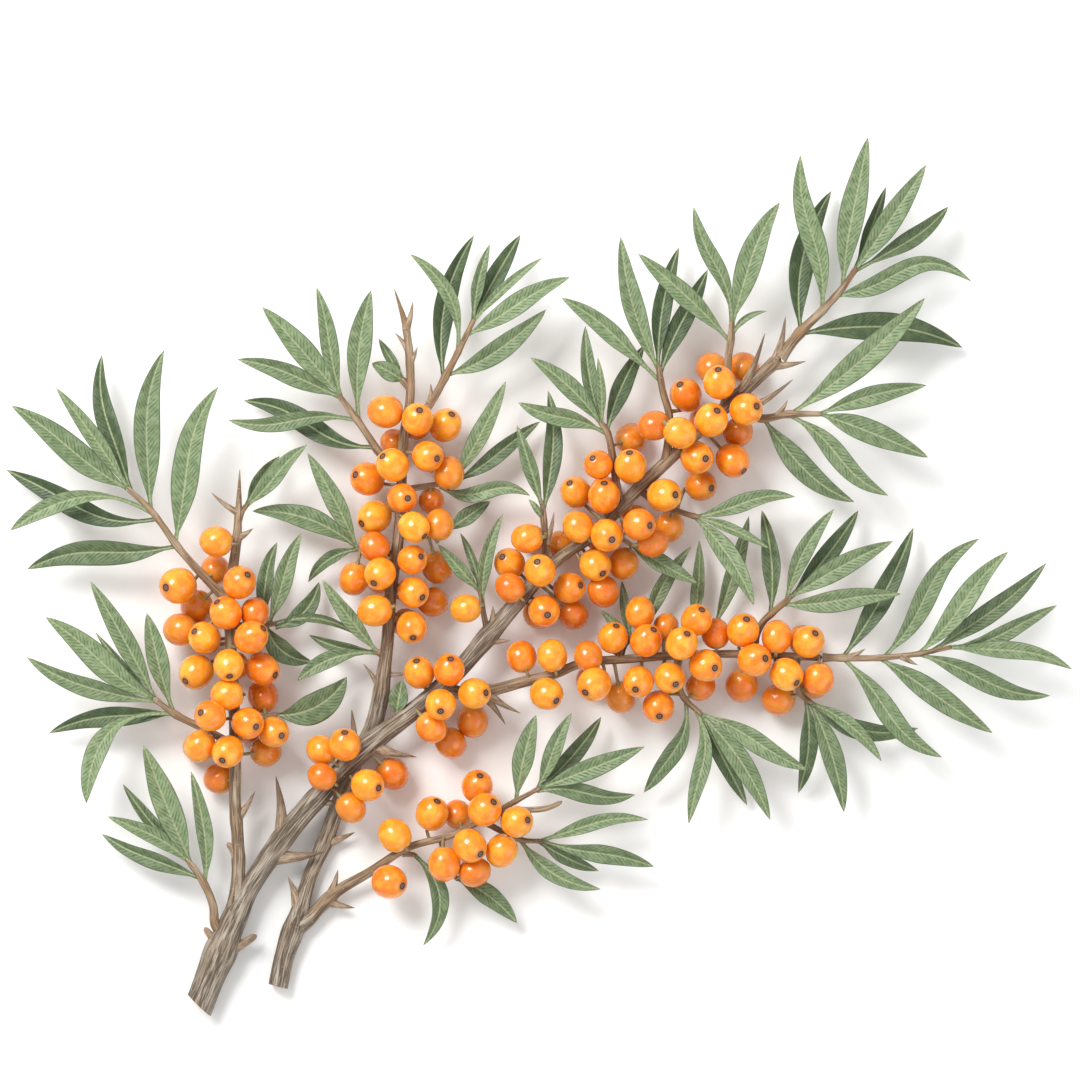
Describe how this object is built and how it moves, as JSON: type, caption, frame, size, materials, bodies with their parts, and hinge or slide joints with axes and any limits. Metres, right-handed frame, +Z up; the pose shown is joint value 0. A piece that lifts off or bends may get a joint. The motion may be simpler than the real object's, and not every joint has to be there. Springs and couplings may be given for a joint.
{
  "type": "sea buckthorn sprig",
  "caption": "Fruiting sea buckthorn sprig: thorny crossed stems with narrow leaves and dense bunches of small oval berries, lying flat.",
  "frame": {"origin": "on the surface that the sprig lies on, under the middle of its outline", "axes": "+Z up from the surface, +X along the longest side of the outline, +Y from the cut stem ends towards the leafy crown"},
  "size_m": [0.2665, 0.2198, 0.0249],
  "materials": {
    "bark": "dry furrowed grey-brown bark, matte",
    "leaf": "thin grey-green leaf blades, satin, with a silvery underside and brown twigs",
    "berry": "smooth glossy orange skin with fine brown dots and a dark tip"
  },
  "bodies": {
    "root": {"main_stem": "bark", "second_stem": "bark", "leafy_shoot_left_top": "leaf", "leafy_shoot_left_tip": "leaf", "leafy_shoot_left_middle": "leaf", "leafy_shoot_left_low": "leaf", "leafy_shoot_left_inner": "leaf", "leafy_shoot_left_single": "leaf", "leafy_shoot_middle_left": "leaf", "leafy_shoot_middle_tip": "leaf", "leafy_shoot_middle_right": "leaf", "leafy_shoot_middle_inner": "leaf", "leafy_shoot_middle_dark": "leaf", "leafy_shoot_middle_outer": "leaf", "leafy_shoot_middle_low": "leaf", "leaf_in_fork": "leaf", "leafy_shoot_fork": "leaf", "leafy_shoot_centre": "leaf", "leafy_shoot_upper_left": "leaf", "leafy_shoot_upper_middle": "leaf", "leafy_shoot_upper_right": "leaf", "leafy_shoot_crown": "leaf", "leafy_shoot_right_top": "leaf", "leafy_shoot_right_inner": "leaf", "leafy_shoot_centre_single": "leaf", "leafy_shoot_behind": "leaf", "leafy_shoot_right_middle": "leaf", "leafy_shoot_right_end": "leaf", "leafy_shoot_right_low": "leaf", "leafy_shoot_right_hanging": "leaf", "leafy_shoot_lower_right": "leaf", "leafy_shoot_lower_end": "leaf", "leafy_shoot_lower_curl": "leaf", "leafy_shoot_lower_left": "leaf", "berries_left": "berry", "berries_crossing_left": "berry", "berries_crossing_right": "berry", "berries_middle": "berry", "berries_fork": "berry", "berry_fork_single": "berry", "berries_centre": "berry", "berries_upper_left": "berry", "berries_upper_right": "berry", "berries_right_pair": "berry", "berry_right_hanging": "berry", "berries_right_inner": "berry", "berries_right_outer": "berry", "berry_lower_above": "berry", "berry_lower_below": "berry", "berries_lower": "berry"}
  },
  "joints": []
}
